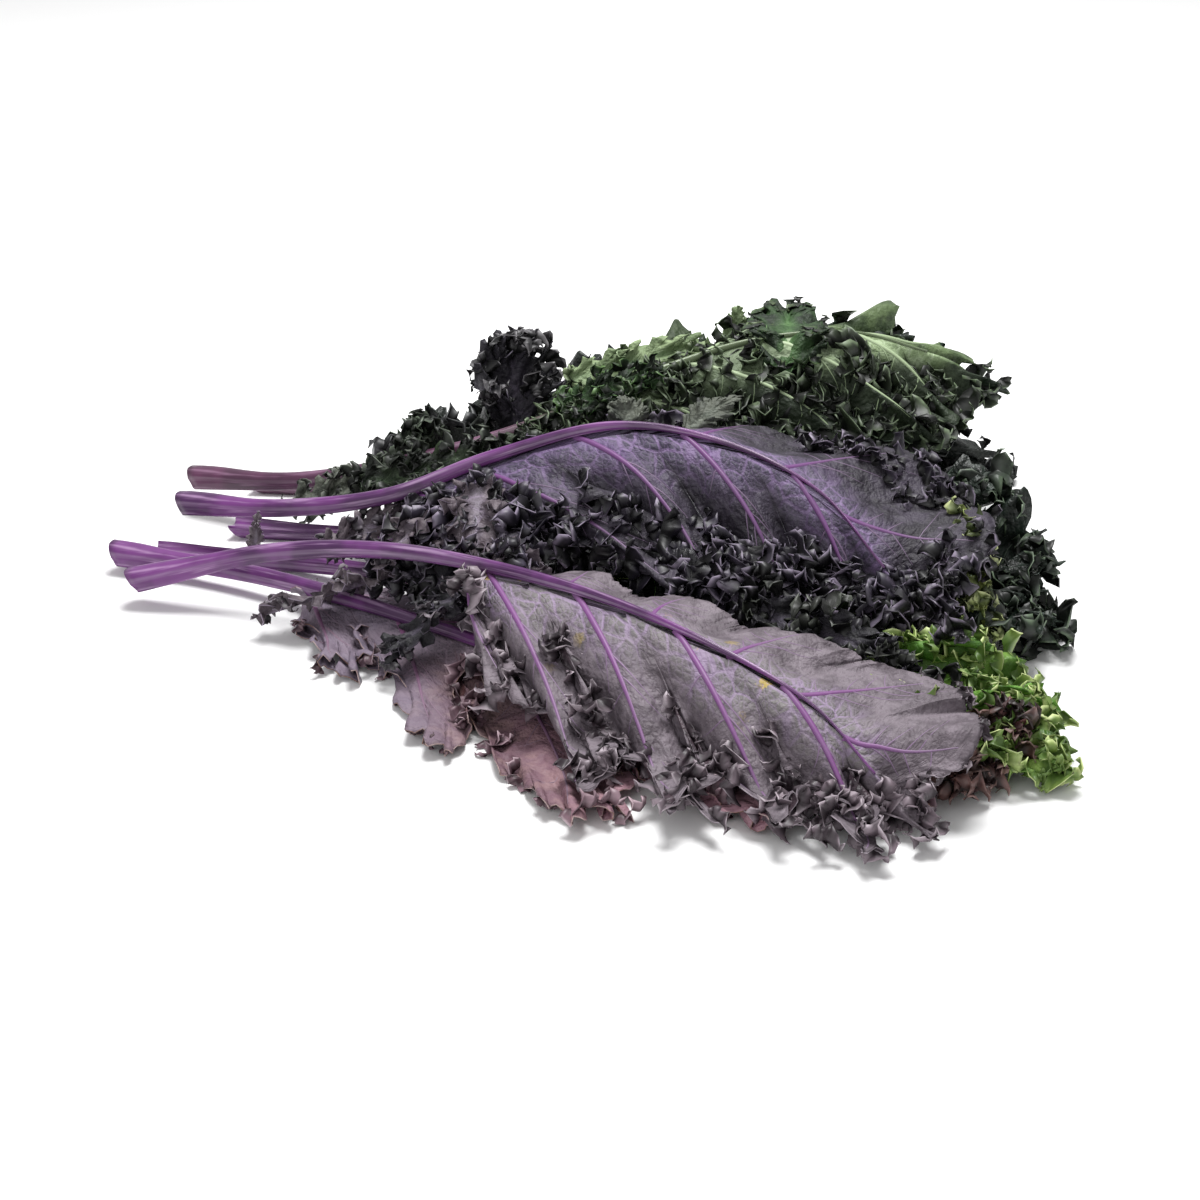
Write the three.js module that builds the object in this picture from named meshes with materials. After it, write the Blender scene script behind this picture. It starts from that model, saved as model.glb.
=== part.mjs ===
// A bunch of purple curly kale, as cut and laid down on a table.
// Seven long leaves lie in a loose fan. Their cut stems are together at -X, and their
// frilled blades spread towards +X, one over another. Each leaf is two solids that grow
// along one line: the fleshy violet stem, which runs on as the midrib, and the thin blade
// of lobes whose margin is waved and toothed. Millimetres, +Z up, and the table is z = 0.
import * as THREE from "three";

// Driving dimensions of every leaf.
const thickness = 0.8; // of the blade
const ribGap = 0.35; // between the blade and the stem that carries it
const lobesPerSide = 5; // a half lobe more on each side makes the end lobe
const lobeCount = lobesPerSide + 0.5;
const wavesPerLobe = 4;
const waveHeight = 8; // of the frill, each way from the blade's own surface
const toothLength = 3.2;
const lobeSpread = 15; // how far a lobe's flanks reach over its neighbours' room
const lobeShingle = 8; // how far one flank lies above the blade and the other below
const foldDepth = 12; // how far the blade between two side veins lies off them, upper side out
const veinLean = 32; // degrees forward of square, where the side veins leave the midrib
const settleHeight = 3.5; // over which a drooping blade comes to lie flat on the table
const middle = new THREE.Vector3(-8, 32.2, 0); // of the bunch, where the part has its origin

// The rows of a blade's mesh from midrib to margin: the share of the way out, and the
// number of steps across one lobe.
const bladeRows = [
  { out: 0, steps: 2 },
  { out: 0.3, steps: 4 },
  { out: 0.58, steps: 8 },
  { out: 0.8, steps: 16 },
  { out: 1, steps: 16 },
];

// The section of a stem, which is hollowed on the leaf's upper side and round below:
// [share of the half width, share of the height].
const stemSection = [
  [-0.86, 0], [-0.36, 0.16], [0.36, 0.16], [0.86, 0], [1, 0.36],
  [0.8, 0.74], [0.34, 0.97], [-0.34, 0.97], [-0.8, 0.74], [-1, 0.36],
];
const bareSteps = 7; // of the stem's mesh before the blade starts
const stemHalfWidth = 4.4;
const stemHeight = 8;
const cutFlare = 1.75; // how many times wider the stem is at its cut end
const ribTipShare = 0.13; // of the stem's size that is left at the tip of the midrib

// Each leaf: the line of its stem and midrib from the cut end to the tip, and the share of
// that line where the blade starts. Then, for the blade's left and right side at its base,
// its middle and its broad end, and for the tip: the width, the slope down at the margin,
// and the height of what it lies on. Then the slope at the midrib, the share of the full
// frill, the roll about the line at both ends, and which side is up.
const leaves = [
  {
    name: "front_leaf", underSideUp: true, seed: 1, start: 0.4,
    line: [
      [-222, 62, 8], [-160, 54, 26], [-102, 30, 39], [-48, -10, 49],
      [4, -56, 55], [50, -96, 52], [88, -124, 40], [112, -150, 22],
    ],
    width: { left: [36, 50, 84], right: [62, 122, 114], tip: 38 },
    slope: { left: [14, 12, 4], right: [56, 66, 62], tip: 26 },
    bed: { left: [38, 40, 34], right: [14, 12, 8], tip: 6 },
    ribSlope: 12, frill: 1, roll: [0, 12],
    stem: "violet_stem", blade: "plum_blade",
  },
  {
    name: "under_leaf", underSideUp: true, seed: 2, start: 0.26,
    line: [
      [-238, 102, 4], [-186, 82, 6], [-134, 52, 8], [-80, 14, 9],
      [-26, -28, 10], [28, -62, 10], [82, -84, 9], [134, -92, 6],
    ],
    width: { left: [34, 50, 50], right: [56, 118, 96], tip: 46 },
    slope: { left: [8, 8, 8], right: [14, 12, 8], tip: 8 },
    bed: { left: [0, 0, 0], right: [0, 0, 0], tip: 0 },
    ribSlope: 4, frill: 0.7, roll: [0, 0],
    stem: "violet_stem", blade: "rose_blade",
  },
  {
    name: "green_leaf", underSideUp: false, seed: 3, start: 0.46,
    line: [
      [-225, 114, 8.2], [-172, 104, 8.2], [-116, 82, 12], [-58, 48, 17],
      [0, 6, 21], [54, -28, 22], [108, -56, 19], [156, -80, 13],
    ],
    width: { left: [34, 56, 72], right: [34, 56, 68], tip: 50 },
    slope: { left: [14, 12, 10], right: [8, 6, 4], tip: 4 },
    bed: { left: [4, 4, 4], right: [14, 14, 12], tip: 10 },
    ribSlope: -8, frill: 0.7, roll: [0, 0],
    stem: "violet_stem", blade: "green_blade",
  },
  {
    name: "top_leaf", underSideUp: true, seed: 4, start: 0.32,
    line: [
      [-207, 127, 20], [-152, 100, 30], [-100, 82, 45], [-50, 72, 70],
      [6, 60, 91], [56, 42, 91], [100, 20, 76], [128, -12, 52],
    ],
    width: { left: [36, 52, 92], right: [70, 118, 108], tip: 54 },
    slope: { left: [36, 30, -4], right: [56, 64, 60], tip: 30 },
    bed: { left: [52, 56, 60], right: [48, 45, 39], tip: 34 },
    ribSlope: 14, frill: 1, roll: [-4, 18],
    stem: "violet_stem", blade: "plum_blade",
  },
  {
    name: "pale_leaf", underSideUp: true, seed: 5, start: 0.42,
    line: [
      [-208, 176, 14], [-150, 148, 25], [-92, 134, 42], [-34, 138, 60],
      [22, 156, 80], [76, 172, 94], [128, 184, 95], [168, 192, 82],
    ],
    width: { left: [34, 52, 68], right: [50, 84, 80], tip: 44 },
    slope: { left: [30, 20, 20], right: [50, 62, 60], tip: 34 },
    bed: { left: [52, 52, 52], right: [48, 50, 50], tip: 44 },
    ribSlope: 12, frill: 1, roll: [0, 8],
    stem: "mauve_stem", blade: "pale_blade",
  },
  {
    name: "dark_leaf", underSideUp: false, seed: 6, start: 0.4,
    line: [
      [-190, 146, 8.2], [-138, 136, 8.2], [-82, 122, 13], [-22, 102, 19],
      [40, 78, 25], [92, 56, 28], [136, 42, 25], [174, 32, 15],
    ],
    width: { left: [40, 64, 78], right: [40, 64, 74], tip: 50 },
    slope: { left: [-10, -24, -50], right: [10, 10, 20], tip: 26 },
    bed: { left: [4, 4, 0], right: [36, 38, 22], tip: 0 },
    ribSlope: -10, frill: 0.8, roll: [0, 0],
    stem: "violet_stem", blade: "dark_blade",
  },
  {
    name: "back_leaf", underSideUp: false, seed: 7, start: 0.22,
    line: [
      [-187, 205, 8.2], [-138, 197, 8.2], [-88, 195, 13], [-38, 197, 18],
      [14, 200, 23], [68, 206, 25], [124, 212, 22], [172, 214, 14],
    ],
    width: { left: [40, 64, 70], right: [76, 60, 60], tip: 46 },
    slope: { left: [-20, -56, -56], right: [-84, -20, 34], tip: 24 },
    bed: { left: [2, 2, 0], right: [4, 4, 0], tip: 0 },
    ribSlope: -12, frill: 0.9, roll: [0, 0],
    stem: "mauve_stem", blade: "dark_blade",
  },
];

// Colours, roughness and metalness of each finish.
const finishes = {
  violet_stem: new THREE.MeshStandardMaterial({ color: "#7a3a86", roughness: 0.5, metalness: 0 }),
  mauve_stem: new THREE.MeshStandardMaterial({ color: "#7d5078", roughness: 0.5, metalness: 0 }),
  plum_blade: new THREE.MeshStandardMaterial({ color: "#5d5263", roughness: 0.7, metalness: 0 }),
  rose_blade: new THREE.MeshStandardMaterial({ color: "#7a5f6c", roughness: 0.7, metalness: 0 }),
  pale_blade: new THREE.MeshStandardMaterial({ color: "#6f8a63", roughness: 0.7, metalness: 0 }),
  dark_blade: new THREE.MeshStandardMaterial({ color: "#26301f", roughness: 0.6, metalness: 0 }),
  green_blade: new THREE.MeshStandardMaterial({ color: "#4f7a2c", roughness: 0.6, metalness: 0 }),
};

const radians = THREE.MathUtils.degToRad;
const mix = THREE.MathUtils.lerp;
const smooth = (x, from, to) => THREE.MathUtils.smoothstep(x, from, to);
const up = new THREE.Vector3(0, 0, 1);

// The point of a leaf's line at a share of its length, with the directions along it,
// across it to the right, and out of the side that is up.
function frameAt(leaf, share) {
  const origin = leaf.curve.getPoint(share);
  const ahead = leaf.curve.getTangent(share);
  const flatAcross = new THREE.Vector3().crossVectors(ahead, up).normalize();
  const flatOut = new THREE.Vector3().crossVectors(flatAcross, ahead);
  const roll = radians(mix(leaf.roll[0], leaf.roll[1], share));
  const across = flatAcross.clone().multiplyScalar(Math.cos(roll));
  across.addScaledVector(flatOut, -Math.sin(roll));
  const out = flatOut.clone().multiplyScalar(Math.cos(roll));
  out.addScaledVector(flatAcross, Math.sin(roll));
  return { origin, ahead, across, out };
}

// Height of a point that would be at z, where it comes to lie on what is at the height bed.
function settled(z, bed) {
  return bed + thickness / 2 + settleHeight * Math.log(1 + Math.exp((z - bed) / settleHeight));
}

// A size of a blade between its base, its middle, its broad end and its tip.
function along([base, middle, end], tip, toTip) {
  const first = mix(base, middle, smooth(toTip, 0, 0.4));
  const last = mix(end, tip, smooth(toTip, 0.75, 1));
  return mix(first, last, smooth(toTip, 0.4, 0.75));
}

// A point of a blade's middle surface. The margin is measured in lobes, from the left
// side's base at 0, round the tip, to the right side's base; reach is the share of the
// way from the midrib to the margin.
function bladePoint(leaf, marginPlace, reach) {
  const right = marginPlace > lobeCount;
  const side = right ? 1 : -1;
  const place = right ? 2 * lobeCount - marginPlace : marginPlace;
  const lobe = Math.min(Math.floor(place + 1e-9), lobesPerSide);
  const turn = place - lobe; // 0 to 1 round this lobe's outline
  const across = 0.5 * (1 - Math.cos(Math.PI * turn)); // 0 to 1 across this lobe
  const toTip = (lobe + across) / lobeCount;

  const wobble = Math.sin(1.9 * marginPlace + 2.3 * leaf.seed);
  const bite = mix(0.85, 0.5, smooth(toTip, 0, 0.6)); // how deep the cuts between lobes are
  const ofSide = ({ left, right: other, tip }) => along(right ? other : left, tip, toTip);
  const width = (1 + 0.1 * wobble) * ofSide(leaf.width);
  const round = Math.sqrt(Math.max(0, 1 - Math.abs(2 * across - 1) ** 2.6));
  const edge = 1 - bite + bite * round;
  const frill = smooth(reach, 0.45, 1);
  const wave = 2 * Math.PI * wavesPerLobe * marginPlace;
  const tooth = toothLength * frill * Math.cos(2 * wave) * round;
  const distance = Math.max(0, reach * edge * width + tooth);
  const share = distance / width;
  const past = THREE.MathUtils.clamp((share - (1 - bite)) / bite, 0, 1); // beyond the cuts

  const lean = radians(mix(veinLean, 90, toTip ** 3));
  const firstSlope = radians(mix(leaf.ribSlope, 0, toTip ** 4));
  const lastSlope = radians(ofSide(leaf.slope));
  const bend = lastSlope - firstSlope + 1e-6;
  const slope = firstSlope + bend * share;
  const outward = (width * (Math.sin(slope) - Math.sin(firstSlope))) / bend;
  const downward = (width * (Math.cos(firstSlope) - Math.cos(slope))) / bend;

  const f = frameAt(leaf, mix(leaf.start, 1, toTip));
  const away = f.across.clone().multiplyScalar(side * Math.cos(lean));
  away.addScaledVector(f.ahead, Math.sin(lean));
  const onward = f.ahead.clone().multiplyScalar(Math.cos(lean));
  onward.addScaledVector(f.across, -side * Math.sin(lean));
  const normal = f.out.clone().multiplyScalar(Math.cos(slope));
  normal.addScaledVector(away, Math.sin(slope));

  const fromVein = 2 * across - 1;
  const sag = foldDepth * leaf.frill * (0.5 - 0.5 * Math.cos(Math.PI * fromVein)) * smooth(share, 0.05, 0.5);
  const ruffle = waveHeight * leaf.frill * frill * Math.sin(wave + wobble) * mix(0.5, 1, round);
  const lift = ruffle + (leaf.underSideUp ? -sag : sag) + lobeShingle * fromVein * past;

  const p = f.origin.clone();
  p.addScaledVector(away, outward);
  p.addScaledVector(f.out, -downward);
  p.addScaledVector(onward, lobeSpread * fromVein * past ** 1.3);
  p.addScaledVector(normal, lift);
  p.z = mix(p.z, settled(p.z, ofSide(leaf.bed)), smooth(share, 0, 0.3));
  return p;
}

// The margin places of one row, equally spaced round every lobe.
function rowPlaces(steps) {
  const count = 2 * lobeCount * steps;
  return Array.from({ length: count + 1 }, (_, i) => i / steps);
}

// The two-sided, closed mesh of a blade, from its middle surface.
function bladeGeometry(leaf) {
  const points = [];
  const rows = bladeRows.map(({ out, steps }) => {
    const known = new Map(); // on the midrib, the left and the right side share their points
    return rowPlaces(steps).map((place) => {
      const key = out === 0 ? Math.abs(place - lobeCount).toFixed(4) : place;
      if (!known.has(key)) known.set(key, points.push(bladePoint(leaf, place, out)) - 1);
      return { place, index: known.get(key) };
    });
  });

  const faces = [];
  for (let r = 0; r + 1 < rows.length; r++) {
    const [inner, outer] = [rows[r], rows[r + 1]];
    let [i, o] = [0, 0];
    while (i < inner.length - 1 || o < outer.length - 1) {
      const stepOuter =
        i === inner.length - 1 ||
        (o < outer.length - 1 && outer[o + 1].place <= inner[i + 1].place + 1e-9);
      if (stepOuter) {
        faces.push([inner[i].index, outer[o].index, outer[o + 1].index]);
        o++;
      } else {
        faces.push([inner[i].index, outer[o].index, inner[i + 1].index]);
        i++;
      }
    }
  }

  const last = (row) => row[row.length - 1].index;
  const margin = rows[rows.length - 1].map(({ index }) => index);
  const rightBase = rows.slice(0, -1).reverse().map(last);
  const leftBase = rows.slice(1, -1).map((row) => row[0].index);
  return thickened(points, faces, [...margin, ...rightBase, ...leftBase]);
}

// A closed geometry: an open sheet given its thickness, with a rim round its outline.
function thickened(points, faces, outline) {
  const normals = points.map(() => new THREE.Vector3());
  const ab = new THREE.Vector3();
  const ac = new THREE.Vector3();
  for (const [a, b, c] of faces) {
    ab.subVectors(points[b], points[a]);
    ac.subVectors(points[c], points[a]).cross(ab).negate();
    for (const v of [a, b, c]) normals[v].add(ac);
  }
  const count = points.length;
  const positions = [];
  for (const half of [1, -1])
    points.forEach((p, i) => {
      const q = p.clone().addScaledVector(normals[i].normalize(), (half * thickness) / 2);
      positions.push(q.x, q.y, Math.max(q.z, 0));
    });
  const triangles = [];
  for (const [a, b, c] of faces) {
    triangles.push(a, b, c);
    triangles.push(a + count, c + count, b + count);
  }
  outline.forEach((a, i) => {
    const b = outline[(i + 1) % outline.length];
    triangles.push(a, a + count, b + count, a, b + count, b);
  });
  return closedGeometry(positions, triangles);
}

// A stem and its midrib: one tapered bar whose hollowed side lies against the blade.
function stemGeometry(leaf) {
  const rib = leaf.underSideUp ? 1 : -1;
  const positions = [];
  const ringSize = stemSection.length;
  const bladeSteps = 2 * lobeCount; // rings where the blade has its points, so that both bend alike
  const shares = [];
  for (let i = 0; i < bareSteps; i++) shares.push((i / bareSteps) * leaf.start);
  for (let i = 0; i <= bladeSteps; i++) shares.push(mix(leaf.start, 1, i / bladeSteps));
  for (const share of shares) {
    const f = frameAt(leaf, share);
    const taper = mix(1, ribTipShare, smooth(share, 0.1, 1.02));
    const flare = mix(cutFlare, 1, smooth(share, 0, 0.13));
    for (const [w, h] of stemSection) {
      const p = f.origin.clone();
      p.addScaledVector(f.across, w * stemHalfWidth * taper * flare);
      p.addScaledVector(f.out, rib * (thickness / 2 + ribGap + h * stemHeight * taper));
      positions.push(p.x, p.y, Math.max(p.z, 0));
    }
  }
  const triangles = [];
  const lastRing = shares.length - 1;
  for (let i = 0; i < lastRing; i++)
    for (let j = 0; j < ringSize; j++) {
      const [a, b] = [i * ringSize + j, i * ringSize + ((j + 1) % ringSize)];
      triangles.push(a, b, b + ringSize, a, b + ringSize, a + ringSize);
    }
  for (const [ring, facing] of [[0, -1], [lastRing, 1]]) {
    const middle = positions.length / 3;
    const sum = [0, 0, 0];
    for (let j = 0; j < ringSize; j++)
      for (let k = 0; k < 3; k++) sum[k] += positions[3 * (ring * ringSize + j) + k] / ringSize;
    positions.push(...sum);
    for (let j = 0; j < ringSize; j++) {
      const [a, b] = [ring * ringSize + j, ring * ringSize + ((j + 1) % ringSize)];
      triangles.push(...(facing < 0 ? [a, middle, b] : [a, b, middle]));
    }
  }
  return closedGeometry(positions, triangles);
}

// An indexed geometry with its faces turned to point out of the solid.
function closedGeometry(positions, triangles) {
  let volume = 0;
  const [a, b, c] = [new THREE.Vector3(), new THREE.Vector3(), new THREE.Vector3()];
  for (let i = 0; i < triangles.length; i += 3) {
    a.fromArray(positions, 3 * triangles[i]);
    b.fromArray(positions, 3 * triangles[i + 1]);
    c.fromArray(positions, 3 * triangles[i + 2]);
    volume += a.dot(b.cross(c));
  }
  if (volume < 0) triangles.reverse();
  const geometry = new THREE.BufferGeometry();
  geometry.setAttribute("position", new THREE.Float32BufferAttribute(positions, 3));
  geometry.setIndex(triangles);
  geometry.computeVertexNormals();
  return geometry;
}

const bunch = new THREE.Group();
for (const leaf of leaves) {
  const points = leaf.line.map((p) => new THREE.Vector3(...p).sub(middle));
  leaf.curve = new THREE.CatmullRomCurve3(points, false, "catmullrom", 0.5);
  const stem = new THREE.Mesh(stemGeometry(leaf), finishes[leaf.stem]);
  stem.name = `${leaf.name}_stem`;
  const blade = new THREE.Mesh(bladeGeometry(leaf), finishes[leaf.blade]);
  blade.name = `${leaf.name}_blade`;
  bunch.add(stem, blade);
}

export default bunch;
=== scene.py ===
# A bunch of purple curly kale, lying on a pale table: seven leaves in a loose fan.
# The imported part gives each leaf's place. Every stem and every blade is made finer here.
import math

import bpy
import numpy as np
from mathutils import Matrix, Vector


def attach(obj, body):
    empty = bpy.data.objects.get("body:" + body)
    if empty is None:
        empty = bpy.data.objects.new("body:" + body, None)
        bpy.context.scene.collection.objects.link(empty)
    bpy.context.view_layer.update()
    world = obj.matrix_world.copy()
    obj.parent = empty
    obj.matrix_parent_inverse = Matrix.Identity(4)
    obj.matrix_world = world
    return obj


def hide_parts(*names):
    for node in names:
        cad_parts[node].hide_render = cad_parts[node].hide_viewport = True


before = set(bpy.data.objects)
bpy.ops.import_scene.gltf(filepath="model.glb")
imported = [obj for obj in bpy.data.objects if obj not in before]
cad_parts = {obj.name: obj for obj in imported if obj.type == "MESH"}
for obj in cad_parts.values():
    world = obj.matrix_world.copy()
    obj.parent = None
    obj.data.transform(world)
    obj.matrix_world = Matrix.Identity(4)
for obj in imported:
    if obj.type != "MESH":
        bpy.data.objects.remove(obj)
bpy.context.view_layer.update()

scene = bpy.context.scene
MM = 0.001

# Camera
# It stands low in front of the bunch, as the photograph's did, and looks 25 degrees down.
camera_data = bpy.data.cameras.new("camera")
camera_data.lens = 80
camera_data.sensor_width = 36
camera_data.sensor_fit = "HORIZONTAL"
camera = bpy.data.objects.new("camera", camera_data)
scene.collection.objects.link(camera)
looked_at = Vector((0.008, -0.0522, 0.040))
camera_dip = math.radians(25)
camera_distance = 1.2
towards_camera = Vector((0, -math.cos(camera_dip), math.sin(camera_dip)))
camera.location = looked_at + camera_distance * towards_camera
camera.rotation_euler = (math.pi / 2 - camera_dip, 0, 0)
scene.camera = camera


# The run of the leaves
# A kale leaf grows along one line, its stem and midrib. The lines, widths and slopes are those
# of the solids, in millimetres and degrees, so each finer piece lies where its solid does.
MIDDLE = np.array([-8, 32.2, 0])
LEAVES = {  # width, slope and bed: base, middle and broad end on the left, on the right, then the tip
    "front_leaf": dict(
        under_up=True, seed=1, start=0.4,
        line=[[-222, 62, 8], [-160, 54, 26], [-102, 30, 39], [-48, -10, 49],
              [4, -56, 55], [50, -96, 52], [88, -124, 40], [112, -150, 22]],
        width=([36, 50, 84], [62, 122, 114], 38),
        slope=([14, 12, 4], [56, 66, 62], 26),
        bed=([38, 40, 34], [14, 12, 8], 6),
        rib_slope=12, frill=1, roll=(0, 12), curl=(0.06, 1), lag=(-0.1, 0.25), cut=(0.2, 1.12),
        spread=(0, 0), round=1.6),
    "under_leaf": dict(
        under_up=True, seed=2, start=0.26,
        line=[[-238, 102, 4], [-186, 82, 6], [-134, 52, 8], [-80, 14, 9],
              [-26, -28, 10], [28, -62, 10], [82, -84, 9], [134, -92, 6]],
        width=([34, 50, 50], [56, 118, 96], 46),
        slope=([8, 8, 8], [14, 12, 8], 8),
        bed=([0, 0, 0], [0, 0, 0], 0),
        rib_slope=4, frill=0.7, roll=(0, 0), cut=(1, 1.1), spread=(10, -2), round=1.8),
    "green_leaf": dict(
        under_up=False, seed=3, start=0.46,
        line=[[-225, 114, 8.2], [-172, 104, 8.2], [-116, 82, 12], [-58, 48, 17],
              [0, 6, 21], [54, -28, 22], [108, -56, 19], [156, -80, 13]],
        width=([34, 56, 72], [34, 56, 68], 50),
        slope=([14, 12, 10], [8, 6, 4], 4),
        bed=([4, 4, 4], [14, 14, 12], 10),
        rib_slope=-8, frill=0.7, roll=(0, 0)),
    "top_leaf": dict(
        under_up=True, seed=4, start=0.32,
        line=[[-207, 127, 20], [-152, 100, 30], [-100, 82, 45], [-50, 72, 70],
              [6, 60, 91], [56, 42, 91], [100, 20, 76], [128, -12, 52]],
        width=([36, 52, 96], [70, 118, 108], 54),
        slope=([36, 30, -10], [56, 64, 60], 30),
        bed=([52, 56, 60], [48, 45, 39], 34),
        rib_slope=14, frill=1, roll=(-4, 18), curl=(0.08, 1.1), lag=(-0.08, 0.16), cut=(0.25, 1),
        spread=(0, 5)),
    "pale_leaf": dict(
        under_up=True, seed=5, start=0.42,
        line=[[-208, 176, 14], [-150, 148, 25], [-92, 134, 42], [-34, 138, 60],
              [22, 156, 80], [76, 172, 94], [128, 184, 95], [168, 192, 82]],
        width=([34, 52, 68], [50, 84, 80], 44),
        slope=([30, 20, 20], [50, 62, 60], 34),
        bed=([52, 52, 52], [48, 50, 50], 44),
        rib_slope=12, frill=1, roll=(0, 8)),
    "dark_leaf": dict(
        under_up=False, seed=6, start=0.4,
        line=[[-190, 146, 8.2], [-138, 136, 8.2], [-82, 122, 13], [-22, 102, 19],
              [40, 78, 25], [92, 56, 28], [136, 42, 25], [174, 32, 15]],
        width=([40, 64, 78], [40, 64, 74], 50),
        slope=([-10, -24, -50], [10, 10, 20], 26),
        bed=([4, 4, 0], [36, 38, 22], 0),
        rib_slope=-10, frill=0.8, roll=(0, 0)),
    "back_leaf": dict(
        under_up=False, seed=7, start=0.22,
        line=[[-187, 205, 8.2], [-138, 197, 8.2], [-88, 195, 13], [-38, 197, 18],
              [14, 200, 23], [68, 206, 25], [124, 212, 22], [172, 214, 14]],
        width=([40, 64, 70], [76, 60, 60], 46),
        slope=([-20, -56, -56], [-84, -20, 34], 24),
        bed=([2, 2, 0], [4, 4, 0], 0),
        rib_slope=-12, frill=0.9, roll=(0, 0)),
}


def mix(a, b, share):
    return a + (b - a) * share


def smooth(x, low, high):
    t = np.clip((x - low) / (high - low), 0, 1)
    return t * t * (3 - 2 * t)


def unit(v):
    return v / np.maximum(np.linalg.norm(v, axis=-1, keepdims=True), 1e-9)


def line_point(leaf, share):
    """Points of a leaf's line at shares of its length, on a smooth curve through its points."""
    points = np.array(leaf["line"], float) - MIDDLE
    points = np.vstack([2 * points[0] - points[1], points, 2 * points[-1] - points[-2]])
    spans = len(points) - 3
    at = np.clip(share, 0, 1) * spans
    span = np.minimum(at.astype(int), spans - 1)
    t = (at - span)[:, None]
    a, b, c, d = (points[span + k] for k in range(4))
    into, away = 0.5 * (c - a), 0.5 * (d - b)
    return b + into * t + (3 * (c - b) - 2 * into - away) * t**2 + (2 * (b - c) + into + away) * t**3


def line_length(leaf):
    return np.sum(np.linalg.norm(np.diff(np.array(leaf["line"], float), axis=0), axis=1))


def line_frame(leaf, share):
    """Where a leaf's line is, with its directions ahead, across to the right, and out of its upper face."""
    share = np.asarray(share, float)
    origin = line_point(leaf, share)
    ahead = unit(line_point(leaf, share + 1e-4) - line_point(leaf, share - 1e-4))
    flat_across = unit(np.cross(ahead, [0, 0, 1]))
    flat_out = np.cross(flat_across, ahead)
    roll = np.radians(mix(leaf["roll"][0], leaf["roll"][1], share))[:, None]
    across = np.cos(roll) * flat_across - np.sin(roll) * flat_out
    out = np.cos(roll) * flat_out + np.sin(roll) * flat_across
    return origin, ahead, across, out


# Blades
# Each is one thin leaf blade, cut into lobes whose margin has grown faster than the middle,
# so that it is thrown into large waves, smaller curls on those, and teeth.
BLADE_THICKNESS = 0.5
LOBES_PER_SIDE = 5
LOBE_ROUNDNESS = 2.6
WAVES_PER_LOBE = 4
MARGIN_GROWTH = 3
LOBULE_DEPTH = 9
TOOTH_DEPTH = 3.6
SAG_DEPTH = 14  # between two side veins
RUFFLE_HEIGHT = 9.5  # of the large waves of the margin
LOBE_TWIST = 8
ROOT_SOFTNESS = 0.03
SETTLE = 3.5  # how softly a blade comes to rest on what lies under it
SMALL_FOLDS, TINY_FOLDS = 2.4, 6.3  # for each large wave
SMALL_SWING, TINY_SWING = 4.6, 1.9  # how far folds go out of the sheet
LARGE_SWAY, SMALL_SWAY, TINY_SWAY = -5.0, 2.6, 1.1  # along the margin
LARGE_PULL, SMALL_PULL = -4.5, 2.2  # outwards
FOLDS_LIFTED = 4.0
LIFTED_BELOW = 5
TABLE_GAP = 0.6
TABLE_GIVE = 0.4
LEAST_HEIGHT = 0.02
BLADE_ROWS = [  # share of the way from midrib to margin, and steps across a lobe
    (0, 6), (0.05, 6), (0.1, 12), (0.17, 12), (0.24, 24), (0.31, 24), (0.38, 24), (0.45, 48),
    (0.52, 48), (0.6, 48), (0.68, 48), (0.76, 96), (0.83, 96), (0.89, 96), (0.95, 96), (1, 96),
]


def drift(x, seed):
    """Smooth random values between -1 and 1 along a line."""
    table = np.random.default_rng(seed).uniform(-1, 1, 1024)
    low = np.floor(x).astype(int)
    t = x - low
    t = t * t * (3 - 2 * t)
    return mix(table[low % len(table)], table[(low + 1) % len(table)], t)


def along(sizes, right, to_tip):
    """A size between a blade's base, middle, broad end and tip, on its left or its right side."""
    left, other, tip = sizes
    base, middle, end = (np.where(right, b, a) for a, b in zip(left, other))
    first = mix(base, middle, smooth(to_tip, 0, 0.4))
    last = mix(end, tip, smooth(to_tip, 0.75, 1))
    return mix(first, last, smooth(to_tip, 0.4, 0.75))


def col(x):
    return x[:, None]


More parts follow.
